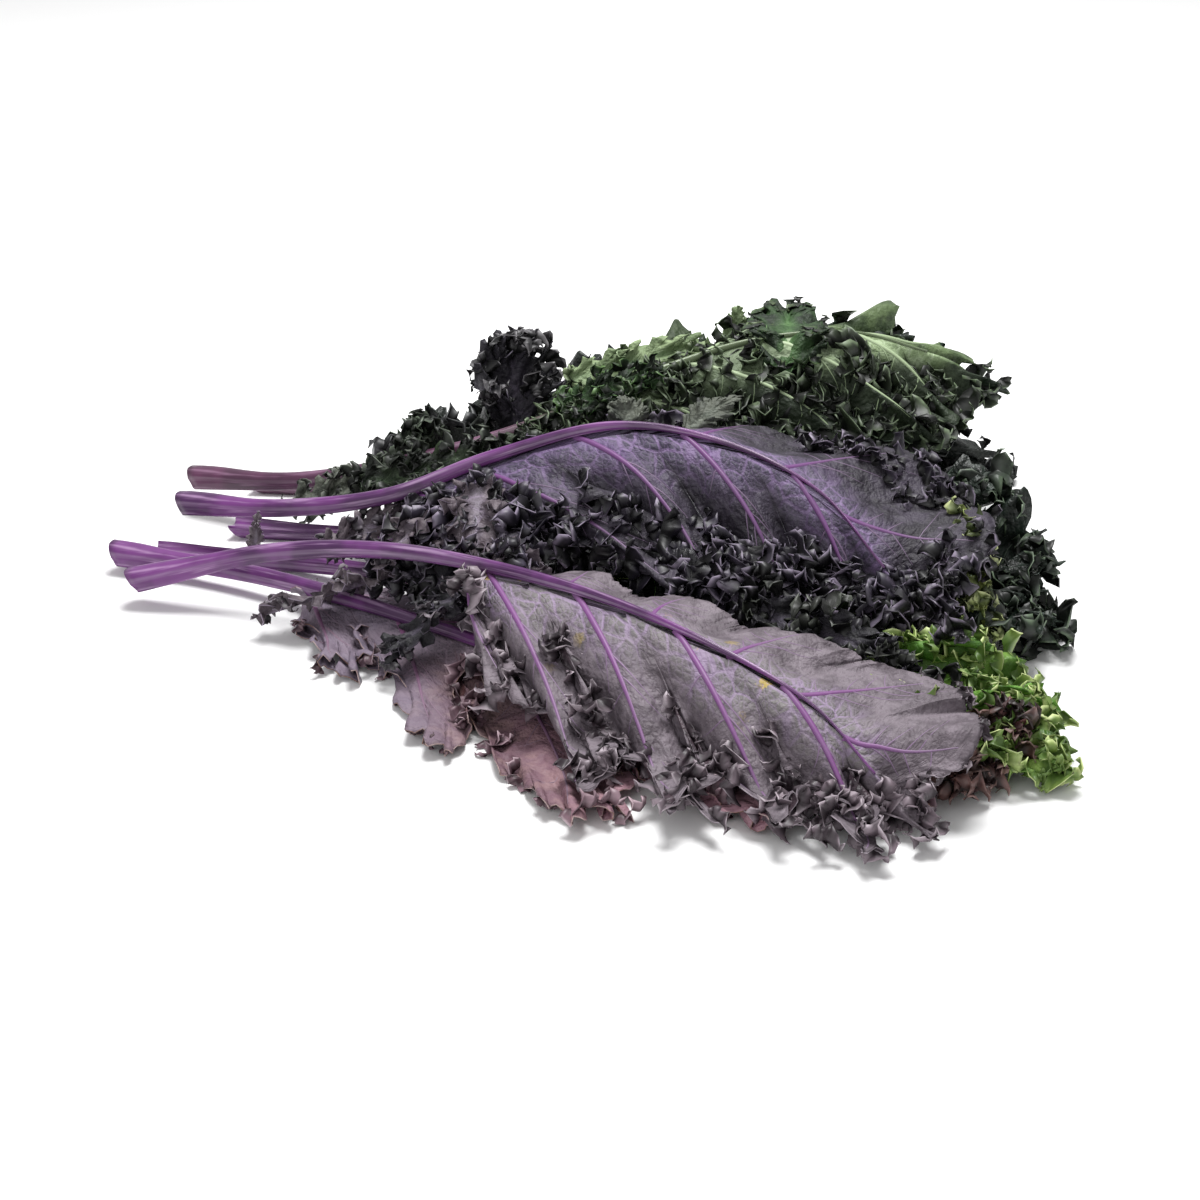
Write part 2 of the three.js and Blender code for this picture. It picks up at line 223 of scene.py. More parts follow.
def blade_at(leaf, place, reach):
    """Points of a blade's middle surface. place runs round the margin in lobes, from the left
    side's base over the tip to the right side's base, and reach from midrib to margin."""
    place, reach = np.asarray(place, float), np.asarray(reach, float)
    per_side = leaf.get("lobes", LOBES_PER_SIDE)
    lobes = per_side + 0.5
    right = place > lobes
    side = np.where(right, 1.0, -1.0)
    up_side = np.where(right, 2 * lobes - place, place)
    lobe = np.minimum(np.floor(up_side + 1e-9), per_side)
    across = 0.5 * (1 - np.cos(np.pi * (up_side - lobe)))
    to_tip = (lobe + across) / lobes

    def sided(key, usual):
        left, other = leaf.get(key, usual)
        return np.where(right, other, left)

    # How far out the margin runs: lobes with bites between them, lobules, and teeth.
    wobble = np.sin(1.9 * place + 2.3 * leaf["seed"])
    cut, spread = sided("cut", (1, 1)), sided("spread", (15, 15))
    bite = cut * mix(0.85, 0.56, smooth(to_tip, 0, 0.6))
    width = (1 + 0.1 * wobble) * along(leaf["width"], right, to_tip)
    power = np.where(right, leaf.get("round", LOBE_ROUNDNESS), LOBE_ROUNDNESS)
    rounded = np.sqrt(np.maximum(0, 1 - np.abs(2 * across - 1) ** power))
    edge = 1 - bite + bite * rounded
    seed = 100 * leaf["seed"]
    scale = leaf.get("scale", 1)
    frill = smooth(reach, 0.42, 0.95)
    fringe = smooth(reach, 0.72, 1)
    wave = 2 * np.pi * WAVES_PER_LOBE * place + wobble + 0.7 * drift(place * 5, seed)
    lobule = 1 - np.abs(np.sin(wave)) ** 0.6
    teeth = 1 - np.abs(np.sin(3.5 * wave + 1.5 * drift(place * 21, seed + 1))) ** 0.8
    uneven = 1 + 0.6 * drift(place * 13, seed + 2)
    tooth = MARGIN_GROWTH * frill - LOBULE_DEPTH * lobule * fringe * uneven
    tooth = tooth - TOOTH_DEPTH * teeth * smooth(reach, 0.85, 1)
    calm = sided("curl", (1, 1))
    tooth = scale * mix(0.12, 1, calm) * tooth * mix(0.3, 1, rounded)
    distance = np.maximum(0, reach * edge * width + tooth)
    share = distance / width
    past = np.clip((share - (1 - bite)) / bite, 0, 1)

    # The blade bends evenly from its slope beside the midrib to its slope at the margin.
    lean = np.radians(mix(32, 90, to_tip**3))
    first = np.radians(mix(leaf["rib_slope"], 0, to_tip**4))
    last = np.radians(along(leaf["slope"], right, to_tip))
    bend = last - first + 1e-6
    slope = first + bend * share
    outward = width * (np.sin(slope) - np.sin(first)) / bend
    downward = width * (np.cos(first) - np.cos(slope)) / bend

    # The side veins leave the midrib further back than the lobes that they run to.
    back = sided("lag", (0.1, 0.1)) * (1 - to_tip**4) * (1 - np.clip(share, 0, 1)) ** 1.5
    root = ROOT_SOFTNESS * np.logaddexp(0, (to_tip - back) / ROOT_SOFTNESS)
    origin, ahead, to_right, out = line_frame(leaf, mix(leaf["start"], 1, np.minimum(root, 1)))
    away = col(side * np.cos(lean)) * to_right + col(np.sin(lean)) * ahead
    onward = col(np.cos(lean)) * ahead - col(side * np.sin(lean)) * to_right
    normal = col(np.cos(slope)) * out + col(np.sin(slope)) * away
    outwards = col(np.cos(slope)) * away - col(np.sin(slope)) * out

    # The sheet sags between its side veins, its margin is ruffled, and its lobes are twisted.
    from_vein = 2 * across - 1
    whole = np.minimum(cut, 1)
    between = 0.5 - 0.5 * np.cos(np.pi * from_vein)
    sag = SAG_DEPTH * leaf["frill"] * mix(0.3, 1, whole) * between * smooth(share, 0.05, 0.5)
    ruffle = RUFFLE_HEIGHT * leaf["frill"] * calm * frill * np.sin(wave) * mix(0.5, 1, rounded)
    lift = scale * (ruffle + (-sag if leaf["under_up"] else sag) + LOBE_TWIST * whole * from_vein * past)
    p = origin + col(outward) * away - col(downward) * out
    p = p + col(spread * scale * from_vein * past**1.3) * onward + col(lift) * normal
    bed = along(leaf["bed"], right, to_tip)
    lying = bed + BLADE_THICKNESS / 2 + SETTLE * np.logaddexp(0, (p[:, 2] - bed) / SETTLE)
    p[:, 2] = mix(p[:, 2], lying, smooth(share, 0, 0.3))

    # Small and tiny folds run along the margin, on the large waves.
    size = scale * (1 + 0.5 * drift(place * 3, seed + 3))
    small = SMALL_FOLDS * wave + 2.5 * drift(place * 6, seed + 4)
    tiny = TINY_FOLDS * wave + 2.5 * drift(place * 17, seed + 5)
    small_edge, tiny_edge = smooth(reach, 0.55, 0.95), smooth(reach, 0.74, 1)
    swing = SMALL_SWING * size * small_edge * np.sin(small)
    swing += TINY_SWING * scale * tiny_edge * np.sin(tiny)
    sway = LARGE_SWAY * size * frill**2 * np.sin(2 * wave)
    sway += scale * (SMALL_SWAY * small_edge**2 * np.cos(small) + TINY_SWAY * tiny_edge * np.cos(tiny))
    pull = LARGE_PULL * frill**2 * size * np.cos(wave + 0.8)
    pull += SMALL_PULL * scale * small_edge**2 * np.sin(small + 1.0)
    near_bed = np.exp(-np.maximum(0, p[:, 2] - bed) / LIFTED_BELOW)
    p = p + leaf["frill"] * col(calm) * (col(swing) * normal + col(pull) * outwards + col(sway) * onward)
    p[:, 2] += near_bed * (FOLDS_LIFTED * frill * (1 + drift(place * 7, seed + 6)))
    over = p[:, 2] - TABLE_GAP
    p[:, 2] = TABLE_GAP + np.where(over > 0, over, TABLE_GIVE * np.tanh(over / TABLE_GIVE))
    run = line_length(leaf) * (1 - leaf["start"]) * to_tip
    flat_ahead = run + distance * np.sin(lean) + spread * from_vein * past**1.3
    flat = np.stack([side * distance * np.cos(lean), flat_ahead], axis=1)
    marks = dict(margin=reach, past=past, from_vein=np.abs(from_vein), to_tip=to_tip,
                 near=np.where(right, reach, 0))
    return p, normal, flat, marks


def sheet_rows(rows, lobes):
    """The grid of a blade: margin places and reaches of its points, and its faces."""
    places, reaches, index, faces = [], [], [], []
    for reach, steps in rows:
        count = int(2 * lobes * steps)
        at = np.arange(count + 1) / steps
        first = sum(len(x) for x in places)
        if reach == 0:
            half = count // 2
            index.append(first + np.minimum(np.arange(count + 1), count - np.arange(count + 1)))
            at = at[: half + 1]
        else:
            index.append(first + np.arange(count + 1))
        places.append(at)
        reaches.append(np.full(len(at), float(reach)))
    for inner, outer in zip(index, index[1:]):
        if len(inner) == len(outer):
            faces += zip(inner[:-1], outer[:-1], outer[1:], inner[1:])
            continue
        middle = outer[1::2]
        faces += zip(inner[:-1], outer[0:-1:2], middle)
        faces += zip(inner[:-1], middle, inner[1:])
        faces += zip(inner[1:], middle, outer[2::2])
    outline = list(index[-1]) + [row[-1] for row in index[-2::-1]] + [row[0] for row in index[1:-1]]
    return np.concatenate(places), np.concatenate(reaches), faces, [int(i) for i in outline]


def vertex_normals(points, faces):
    total = np.zeros_like(points)
    for size in (3, 4):
        some = np.array([f for f in faces if len(f) == size])
        if len(some) == 0:
            continue
        spokes = [points[some[:, k]] - points[some[:, 0]] for k in range(1, size)]
        turned = sum(np.cross(a, b) for a, b in zip(spokes, spokes[1:]))
        for k in range(size):
            np.add.at(total, some[:, k], turned)
    return unit(total)


def thickened(points, normals, thickness, faces, outline):
    """A sheet made solid: its two sides, then the rim between them."""
    count, half = len(points), thickness / 2
    both = np.vstack([points + half * normals, points - half * normals])
    shell = list(faces) + [tuple(i + count for i in f[::-1]) for f in faces]
    shell += [(b, a, a + count, b + count) for a, b in zip(outline, outline[1:] + outline[:1])]
    return both, shell


def mesh_object(name, points, faces, edges=(), materials=()):
    """An object from points in millimetres."""
    mesh = bpy.data.meshes.new(name)
    mesh.from_pydata((np.asarray(points) * MM).tolist(), list(edges), faces)
    if faces:
        mesh.polygons.foreach_set("use_smooth", [True] * len(mesh.polygons))
    for material in materials:
        mesh.materials.append(material)
    made = bpy.data.objects.new(name, mesh)
    scene.collection.objects.link(made)
    return made


def give(mesh, label, values, kind="FLOAT"):
    """Gives each point of a mesh a value under a name."""
    data = mesh.attributes.new(label, kind, "POINT").data
    values = np.asarray(values).astype(np.int32 if kind == "INT" else np.float32)
    data.foreach_set("vector" if kind == "FLOAT_VECTOR" else "value", values.ravel())


def give_uv(mesh, label, places):
    corner = np.empty(len(mesh.loops), np.int32)
    mesh.loops.foreach_get("vertex_index", corner)
    uv = mesh.uv_layers.new(name=label)
    uv.data.foreach_set("uv", places[corner].astype(np.float32).ravel())


def blade_object(name, leaf, materials):
    rows, lobes = leaf.get("rows", BLADE_ROWS), leaf.get("lobes", LOBES_PER_SIDE) + 0.5
    places, reaches, faces, outline = sheet_rows(rows, lobes)
    faces = [tuple(int(i) for i in dict.fromkeys(f)) for f in faces]
    faces = [f for f in faces if len(f) > 2]
    points, facing, flat, marks = blade_at(leaf, places, reaches)
    normals = vertex_normals(points, faces)
    if np.sum(normals * facing) < 0:
        faces = [f[::-1] for f in faces]
        normals = -normals
        outline = outline[::-1]
    both, shell = thickened(points, normals, BLADE_THICKNESS, faces, outline)
    both[:, 2] = np.maximum(both[:, 2], LEAST_HEIGHT)
    made = mesh_object(name, both, shell, materials=materials)
    mesh = made.data
    under, upper = (0, 1) if leaf["under_up"] else (1, 0)
    slots = [under] * len(faces) + [upper] * len(faces) + [2] * len(outline)
    mesh.polygons.foreach_set("material_index", slots)
    for label, values in marks.items():
        give(mesh, label, np.tile(values, 2))
    give_uv(mesh, "flat", np.tile(flat, (2, 1)) * MM)
    mesh.validate()
    return made


def colour(code):
    """A linear colour from a code such as #7a3a86."""
    parts = [int(code[i:i + 2], 16) / 255 for i in (1, 3, 5)]
    return [p / 12.92 if p < 0.04045 else ((p + 0.055) / 1.055) ** 2.4 for p in parts] + [1]


def new_tree(kind, name, inputs, outputs):
    """A tree of nodes, with the label, the kind and sometimes the usual value of its sockets."""
    tree = bpy.data.node_groups.new(name, kind)
    for way, sockets in (("INPUT", inputs), ("OUTPUT", outputs)):
        for label, socket_kind, *usual in sockets:
            made = tree.interface.new_socket(label, in_out=way, socket_type=f"NodeSocket{socket_kind}")
            for value in usual:
                made.default_value = value
    return tree, tree.nodes.new("NodeGroupInput"), tree.nodes.new("NodeGroupOutput")


def node(tree, kind, inputs=(), **settings):
    """A new node with its settings, and a value or a link on each input that is given."""
    made = tree.nodes.new(kind)
    for label, value in settings.items():
        setattr(made, label, value)
    for key, value in dict(inputs).items():
        if isinstance(value, bpy.types.NodeSocket):
            tree.links.new(value, made.inputs[key])
        else:
            made.inputs[key].default_value = value
    return made


def math_node(tree, operation, a, b):
    return node(tree, "ShaderNodeMath", {0: a, 1: b}, operation=operation).outputs[0]


def span_node(tree, value, low, high, to_low=0.0, to_high=1.0):
    inputs = {"Value": value, "From Min": low, "From Max": high, "To Min": to_low, "To Max": to_high}
    return node(tree, "ShaderNodeMapRange", inputs, interpolation_type="SMOOTHSTEP").outputs["Result"]


def mix_node(tree, share, a, b):
    return node(tree, "ShaderNodeMix", {0: share, 6: a, 7: b}, data_type="RGBA").outputs[2]


def noise_node(tree, where, scale, detail=3.0):
    inputs = {"Vector": where, "Scale": scale, "Detail": detail, "Roughness": 0.55}
    return node(tree, "ShaderNodeTexNoise", inputs).outputs["Fac"]


def patches_node(tree, where, scale, detail, low, high, to_low=0.0, to_high=1.0):
    return span_node(tree, noise_node(tree, where, scale, detail), low, high, to_low, to_high)


def value_node(tree, label):
    return node(tree, "ShaderNodeAttribute", attribute_name=label).outputs["Fac"]


def uv_node(tree, label):
    return node(tree, "ShaderNodeUVMap", uv_map=label).outputs[0]


def bump_node(tree, skin, height, strength, distance):
    made = node(tree, "ShaderNodeBump", {"Strength": strength, "Distance": distance, "Height": height})
    tree.links.new(made.outputs["Normal"], skin.inputs["Normal"])


def new_skin(name, roughness):
    """A material with its tree, its shader, and the place on the object."""
    material = bpy.data.materials.new(name)
    material.use_nodes = True
    tree = material.node_tree
    skin = tree.nodes["Principled BSDF"]
    skin.inputs["Roughness"].default_value = roughness
    return material, tree, skin, node(tree, "ShaderNodeTexCoord").outputs["Object"]


def vein_net_group():
    """The net of fine veins all over a blade: a coarse net with a finer one in its meshes."""
    tree, put, got = new_tree(
        "ShaderNodeTree", "vein net",
        [("Coarse", "Float", 100.0), ("Fine", "Float", 330.0)], [("Net", "Float"), ("Height", "Float")])
    uv = uv_node(tree, "flat")
    bent = node(tree, "ShaderNodeTexNoise", {"Vector": uv, "Scale": 60}).outputs["Color"]
    shift = {0: bent, 1: (0.008, 0.008, 0), 2: uv}
    shifted = node(tree, "ShaderNodeVectorMath", shift, operation="MULTIPLY_ADD").outputs[0]
    nets = []
    for label, line in (("Coarse", 0.07), ("Fine", 0.09)):
        inputs = {"Vector": shifted, "Scale": put.outputs[label]}
        cells = node(tree, "ShaderNodeTexVoronoi", inputs, feature="DISTANCE_TO_EDGE")
        inwards = cells.outputs["Distance"]
        nets.append((span_node(tree, inwards, 0.4 * line, 1.3 * line, 1.0, 0.0), inwards))
    (coarse, coarse_inwards), (fine, fine_inwards) = nets
    weaker = math_node(tree, "MULTIPLY", fine, 0.45)
    tree.links.new(math_node(tree, "MAXIMUM", coarse, weaker), got.inputs["Net"])
    swell = math_node(tree, "ADD", math_node(tree, "MINIMUM", coarse_inwards, 0.35),
                      math_node(tree, "MULTIPLY", fine_inwards, 0.4))
    tree.links.new(swell, got.inputs["Height"])
    return tree


def margin_group():
    """How near a point is to the frilled margin, made uneven."""
    tree, put, got = new_tree(
        "ShaderNodeTree", "margin",
        [("From", "Float", 0.5), ("To", "Float", 0.95)], [("Margin", "Float")])
    uneven = noise_node(tree, node(tree, "ShaderNodeTexCoord").outputs["Object"], 45)
    edge = value_node(tree, "margin")
    shifted = math_node(tree, "ADD", edge, math_node(tree, "MULTIPLY_ADD", uneven, 0.5))
    near = math_node(tree, "SUBTRACT", shifted, 0.25)
    near = span_node(tree, near, put.outputs["From"], put.outputs["To"])
    tree.links.new(near, got.inputs["Margin"])
    return tree


VEIN_NET = vein_net_group()
MARGIN = margin_group()


def group_node(tree, group, **values):
    return node(tree, "ShaderNodeGroup", values, node_tree=group)


def speckled(tree, base, place):
    """Small clusters of ochre specks, as insects leave them."""
    cells = node(tree, "ShaderNodeTexVoronoi", {"Vector": place, "Scale": 75})
    pick = node(tree, "ShaderNodeSeparateColor", {0: cells.outputs["Color"]})
    ragged = math_node(tree, "MULTIPLY", noise_node(tree, place, 700, 2), 0.5)
    ragged = math_node(tree, "ADD", cells.outputs["Distance"], ragged)
    spot = span_node(tree, ragged, 0.4, 0.54, 1, 0)
    chosen = math_node(tree, "GREATER_THAN", pick.outputs[0], 0.64)
    share = math_node(tree, "MULTIPLY", math_node(tree, "MULTIPLY", spot, chosen), 0.85)
    return mix_node(tree, share, base, colour("#b09a44"))


def blade_material(name, body, shade, vein, margin, edge_from=0.5, edge_to=0.95, roughness=0.6,
                   specks=False, tints=(), beside_veins=None, fold_shade=None):
    """A leaf's skin: mottled between two colours, with a net of veins and a margin of its own."""
    material, tree, skin, place = new_skin(name, roughness)
    base = mix_node(tree, patches_node(tree, place, 28, 4, 0.35, 0.65), colour(body), colour(shade))
    net = group_node(tree, VEIN_NET)
    if beside_veins:
        flank = span_node(tree, value_node(tree, "from_vein"), 0.0, 0.5, 0.6, 0.0)
        near = math_node(tree, "MULTIPLY", flank, patches_node(tree, place, 40, 3, 0.35, 0.6))
        base = mix_node(tree, near, base, colour(beside_veins))
    netted = mix_node(tree, math_node(tree, "MULTIPLY", net.outputs["Net"], 0.6), base, colour(vein))
    # Painted shade: where a fold colour is given, the blade is darkened along the folds between two lobes, out
    # beyond where the lobes part.
    if fold_shade:
        flank = span_node(tree, value_node(tree, "from_vein"), 0.55, 1.0, 0.0, 0.75)
        deep_shade = math_node(tree, "MULTIPLY", flank, span_node(tree, value_node(tree, "past"), 0.0, 0.12))
        netted = mix_node(tree, deep_shade, netted, colour(fold_shade))
    if specks:
        netted = speckled(tree, netted, place)
    rim = group_node(tree, MARGIN, From=edge_from, To=edge_to)
    tone = mix_node(tree, patches_node(tree, place, 90, 3, 0.4, 0.62), colour(margin[0]), colour(margin[1]))
    whole = mix_node(tree, rim.outputs["Margin"], netted, tone)
    for tint, label, *span in tints:
        whole = mix_node(tree, span_node(tree, value_node(tree, label), *span), whole, colour(tint))
    tree.links.new(whole, skin.inputs["Base Color"])
    skin.inputs["Specular IOR Level"].default_value = 0.35
    crinkle = math_node(tree, "MULTIPLY_ADD", noise_node(tree, place, 130, 4), 1.6)
    bump_node(tree, skin, math_node(tree, "ADD", net.outputs["Height"], crinkle), 0.85, 0.0024)
    return material


def rim_material(name, light, dark):
    material, tree, skin, place = new_skin(name, 0.6)
    tone = mix_node(tree, patches_node(tree, place, 120, 2, 0.4, 0.6), colour(light), colour(dark))
    tree.links.new(tone, skin.inputs["Base Color"])
    return material


SKINS = {  # of each side: its two tones, its net of veins, and the two tones of its margin
    "front_leaf": dict(
        # its fold colour is painted shade between the lobes
        slot="plum_blade", more=dict(specks=True, beside_veins="#725a7c", fold_shade="#39323a"),
        under=("#7e7a79", "#5d595b", "#a48db0", ("#5b5259", "#776d75")),
        upper=("#2c2a2e", "#23262a", "#5a4a5e", ("#2a2228", "#4a3c44")), rim=("#a89ca6", "#6a5f66")),
    "under_leaf": dict(
        slot="rose_blade",
        tints=[("#7a7080", "to_tip", 0.2, 0.4, 0.8, 0), ("#a67d8b", "to_tip", 0.38, 0.55, 0, 0.75),
               ("#7a5459", "to_tip", 0.75, 0.95, 0, 0.7)],
        under=("#81747f", "#6a5d69", "#a592a2", ("#6a505a", "#846a6c")),
        upper=("#4a3038", "#38282e", "#6a4a5e", ("#3a2428", "#5c3a38")), rim=("#b09a98", "#7a5c50")),
    "green_leaf": dict(
        # Painted shade: the green leaf is near black from its base to half its length, fading out by four
        # fifths, in the shade of the leaves above it.
        slot="green_blade", tints=[("#161d14", "to_tip", 0.5, 0.8, 1, 0)],
        under=("#6f8a50", "#587a3c", "#9cb070", ("#4c7a28", "#6a9a38")),
        upper=("#587b32", "#3e5f24", "#8aa458", ("#456624", "#6f9240")), rim=("#a8c070", "#5a8030")),
    "top_leaf": dict(
        # its fold colour is painted shade between the lobes
        slot="plum_blade", more=dict(beside_veins="#61437a", fold_shade="#1c191f"),
        under=("#635c6e", "#3f384c", "#8f75a2", ("#26222a", "#3e3844")),
        upper=("#1e1e22", "#16181a", "#3a3440", ("#141516", "#2a282e")), rim=("#8a808e", "#3c3642")),
    "pale_leaf": dict(
        slot="pale_blade", more=dict(edge_from=0.65, edge_to=1),
        tints=[("#26321f", "to_tip", 0.45, 0.8, 0.7, 0), ("#1c261a", "near", 0.25, 0.5, 0, 0.85)],
        under=("#9fb38d", "#7f9269", "#b6c7a5", ("#3c4c30", "#62744e")),
        upper=("#1f3a1c", "#16281a", "#4a6a3c", ("#121a14", "#24382a")), rim=("#7c9070", "#3c4a3c")),
    "dark_leaf": dict(
        slot="dark_blade",
        under=("#3c4a3c", "#2c382e", "#5a6a5a", ("#18201a", "#2a342c")),
        upper=("#2a3a2c", "#1a2620", "#4c5a4a", ("#121814", "#26322a")), rim=("#74807a", "#38443c")),
    "back_leaf": dict(
        slot="dark_blade",
        under=("#3e4640", "#2c342e", "#5e6a5a", ("#181c1a", "#2c302c")),
        upper=("#22302a", "#181f1e", "#4a5a48", ("#141816", "#262c28")), rim=("#7a8478", "#383f3a")),
}
for name, leaf in LEAVES.items():
    skin = SKINS[name]
    tints = skin.get("tints", ())
    made = blade_object(f"{name}_frilled_blade", leaf, [
        blade_material(f"{name} underside", *skin["under"], tints=tints, **skin.get("more", {})),
        blade_material(f"{name} upper side", *skin["upper"], tints=tints, roughness=0.42),
        rim_material(f"{name} rim", *skin["rim"]),
    ])
    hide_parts(f"{name}_blade")
    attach(made, "root")


# Stems and midribs
# Each is the fleshy violet stalk of a leaf, round below, hollowed on the upper side, flared
# where it was cut, and running on as a midrib that tapers to the tip of the blade.
STEM_HALF_WIDTH = 4.4
STEM_HEIGHT = 8
RIB_GAP = 0.35
CAD_HALF_BLADE = 0.4
CUT_FLARE = 1.75
CUT_TALLNESS = 1.3
CUT_SLANT = 6
CUT_BULGE = 0.96
TIP_BULGE = 0.72
RIB_TIP = 0.13
STEM_RINGS = 100
STEM_RUN = 440  # the length that its skin takes a stem to have
STEM_SECTION = [
    (-0.95, 0.02), (-0.86, -0.02), (-0.72, 0.03), (-0.52, 0.12), (-0.28, 0.17), (0, 0.19),
    (0.28, 0.17), (0.52, 0.12), (0.72, 0.03), (0.86, -0.02), (0.95, 0.02), (1.0, 0.12),
    (1.0, 0.28), (0.96, 0.44), (0.87, 0.6), (0.73, 0.76), (0.55, 0.88), (0.34, 0.96),
    (0.12, 0.985), (-0.12, 0.985), (-0.34, 0.96), (-0.55, 0.88), (-0.73, 0.76), (-0.87, 0.6),
    (-0.96, 0.44), (-1.0, 0.28), (-1.0, 0.12),
]


def stem_object(name, leaf, materials):
    rib = 1 if leaf["under_up"] else -1
    share = np.linspace(0, 1, STEM_RINGS)
    origin, ahead, across, out = line_frame(leaf, share)
    taper = mix(1, RIB_TIP, smooth(share, 0.05, 0.95))
    flare = mix(CUT_FLARE, 1, smooth(share, 0, 0.13))
    tall = mix(CUT_TALLNESS if rib == 1 else 1, 1, smooth(share, 0, 0.1))
    size = len(STEM_SECTION)
    points = np.empty((STEM_RINGS, size, 3))
    for j, (w, h) in enumerate(STEM_SECTION):
        ridge = 1 + 0.05 * drift(share * 40 + 7 * j, 500 + leaf["seed"])
        side = w * STEM_HALF_WIDTH * taper * flare * ridge
        rise = rib * (CAD_HALF_BLADE + RIB_GAP * smooth(share, 0.9, 0.2) + h * STEM_HEIGHT * taper * tall)
        lip = CUT_SLANT * (h * rib - 0.3) * smooth(share, 0.035, 0)
        points[:, j] = origin + side[:, None] * across + rise[:, None] * out - lip[:, None] * ahead
    points[:, :, 2] = np.maximum(points[:, :, 2], LEAST_HEIGHT)
    verts = points.reshape(-1, 3).tolist()
    faces = []
    for i in range(STEM_RINGS - 1):
        for j in range(size):
            a, b = i * size + j, i * size + (j + 1) % size
            faces.append((a, b, b + size, a + size))
    for ring, bulge in ((0, -CUT_BULGE), (STEM_RINGS - 1, TIP_BULGE)):
        base, end = ring * size, len(verts)
        verts.append((points[ring].mean(axis=0) + bulge * ahead[ring]).tolist())
        for j in range(size):
            a, b = base + j, base + (j + 1) % size
            faces.append((a, b, end) if ring else (a, end, b))
    made = mesh_object(name, verts, faces, materials=materials)
    made.data.polygons.foreach_set("material_index", [0] * (STEM_RINGS - 1) * size + [1] * size + [0] * size)
    place = np.full((len(verts), 2), (0.5, 0.0))
    place[:STEM_RINGS * size, 0] = np.tile(np.arange(size) / size, STEM_RINGS)
    place[:STEM_RINGS * size, 1] = np.repeat(share * STEM_RUN * MM, size)
    give_uv(made.data, "run", place)
    made.data.validate()
    return made


def drawn_out(tree, uv, scale):
    return node(tree, "ShaderNodeMapping", {"Vector": uv, "Scale": scale}).outputs[0]


def stem_material(name, body, light, dark, bloomed, far=None):
    """A stalk's skin: fine pale fibres and a dull bloom, and where far is given, another colour
    in the half towards the tip."""
    material, tree, skin, place = new_skin(name, 0.34)
    uv = uv_node(tree, "run")
    fibres = noise_node(tree, drawn_out(tree, uv, (14, 22, 1)), 1.0, 5)
    base = mix_node(tree, patches_node(tree, place, 30, 3, 0.38, 0.62), colour(body), colour(dark))
    streaked = mix_node(tree, span_node(tree, fibres, 0.5, 0.72, 0, 0.7), base, colour(light))
    bloom = patches_node(tree, drawn_out(tree, uv, (7, 5, 1)), 1.0, 2, 0.5, 0.62, 0, 0.5)
    streaked = mix_node(tree, bloom, streaked, colour(bloomed))
    if far:
        run = node(tree, "ShaderNodeSeparateXYZ", {0: uv})
        streaked = mix_node(tree, span_node(tree, run.outputs["Y"], 0.16, 0.26), streaked, colour(far))
    tree.links.new(streaked, skin.inputs["Base Color"])
    skin.inputs["Specular IOR Level"].default_value = 0.5
    bump_node(tree, skin, fibres, 0.35, 0.0008)
    return material


MAUVE_TONES = ("#5f3452", "#93708a", "#46283e", "#8a7684")
VIOLET = stem_material("violet stem skin", "#6d3676", "#b391b7", "#45204d", "#917a96")
MAUVE = stem_material("mauve stem skin", *MAUVE_TONES)
PALE_RIB = stem_material("mauve stem skin with pale midrib", *MAUVE_TONES, "#6c7a5c")
CUT = stem_material("cut stem face", "#8d6f8c", "#c9b8c2", "#7a5470", "#b9a3b4")
for name, leaf in LEAVES.items():
    mauve = name in ("pale_leaf", "back_leaf")
    skin = PALE_RIB if name == "pale_leaf" else MAUVE if mauve else VIOLET
    made = stem_object(f"{name}_stalk", leaf, [skin, CUT])
    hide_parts(f"{name}_stem")
    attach(made, "root")


# Side veins
# Each lobe has one raised vein from the midrib towards its end, with branches to its flanks.
# They are one with the blade, and stand out of its underside.
VEIN_END = 0.88
VEIN_FROM_TO = (1.8, 0.3)
BRANCH_FROM, BRANCH_TO = 0.62, 0.12
VEIN_SUNK = 0.55  # share of its half width that a vein lies in the blade
BRANCH_STARTS = (0.2, 0.36, 0.5, 0.63)
STEP = 0.004
GEOMETRY, MATERIAL = ("Geometry", "Geometry"), ("Material", "Material")


def vein_paths(leaf):
    paths = []
    rng = np.random.default_rng(40 + leaf["seed"])
    for lobe in range(2 * LOBES_PER_SIDE + 1):
        if lobe == LOBES_PER_SIDE:
            continue
        middle = lobe + 0.5
        wander = rng.uniform(-0.03, 0.03)
        t = np.linspace(0.0, VEIN_END, 24)
        bend = middle + wander * np.sin(np.pi * t)
        paths.append((bend, t, *VEIN_FROM_TO))
        for k, start in enumerate(BRANCH_STARTS):
            for way in (-1, 1):
                at = start + rng.uniform(-0.06, 0.06)
                end = min(VEIN_END, at + rng.uniform(0.16, 0.27))
                reach = np.linspace(at, end, 7)
                step = way * rng.uniform(0.12, 0.24)
                place = np.interp(at, t, bend) + step * ((reach - at) / (end - at)) ** 0.8
                paths.append((place, reach, BRANCH_FROM - 0.08 * k, BRANCH_TO))
    return paths


def vein_edges(name, leaf):
    """Open paths on a blade's raised side, with the half width of the vein at each point."""
    points, widths, edges = [], [], []
    for place, reach, thick, thin in vein_paths(leaf):
        p, normal, _, _ = blade_at(leaf, place, reach)
        q, _, _, _ = blade_at(leaf, place + STEP, reach)
        r, _, _, _ = blade_at(leaf, place, reach + STEP)
        real = unit(np.cross(q - p, r - p))
        real *= np.sign(np.sum(real * normal, axis=1))[:, None]
        start = len(points)
        fade = np.linspace(thick, thin, len(p))
        points += list(p + real * (BLADE_THICKNESS / 2 - VEIN_SUNK * fade[:, None]))
        widths += list(fade)
        edges += [(i, i + 1) for i in range(start, len(points) - 1)]
    made = mesh_object(name, points, [], edges)
    give(made.data, "half_width", np.array(widths) * MM)
    return made


def named_values(tree, label, kind="FLOAT"):
    return node(tree, "GeometryNodeInputNamedAttribute", {"Name": label}, data_type=kind).outputs["Attribute"]


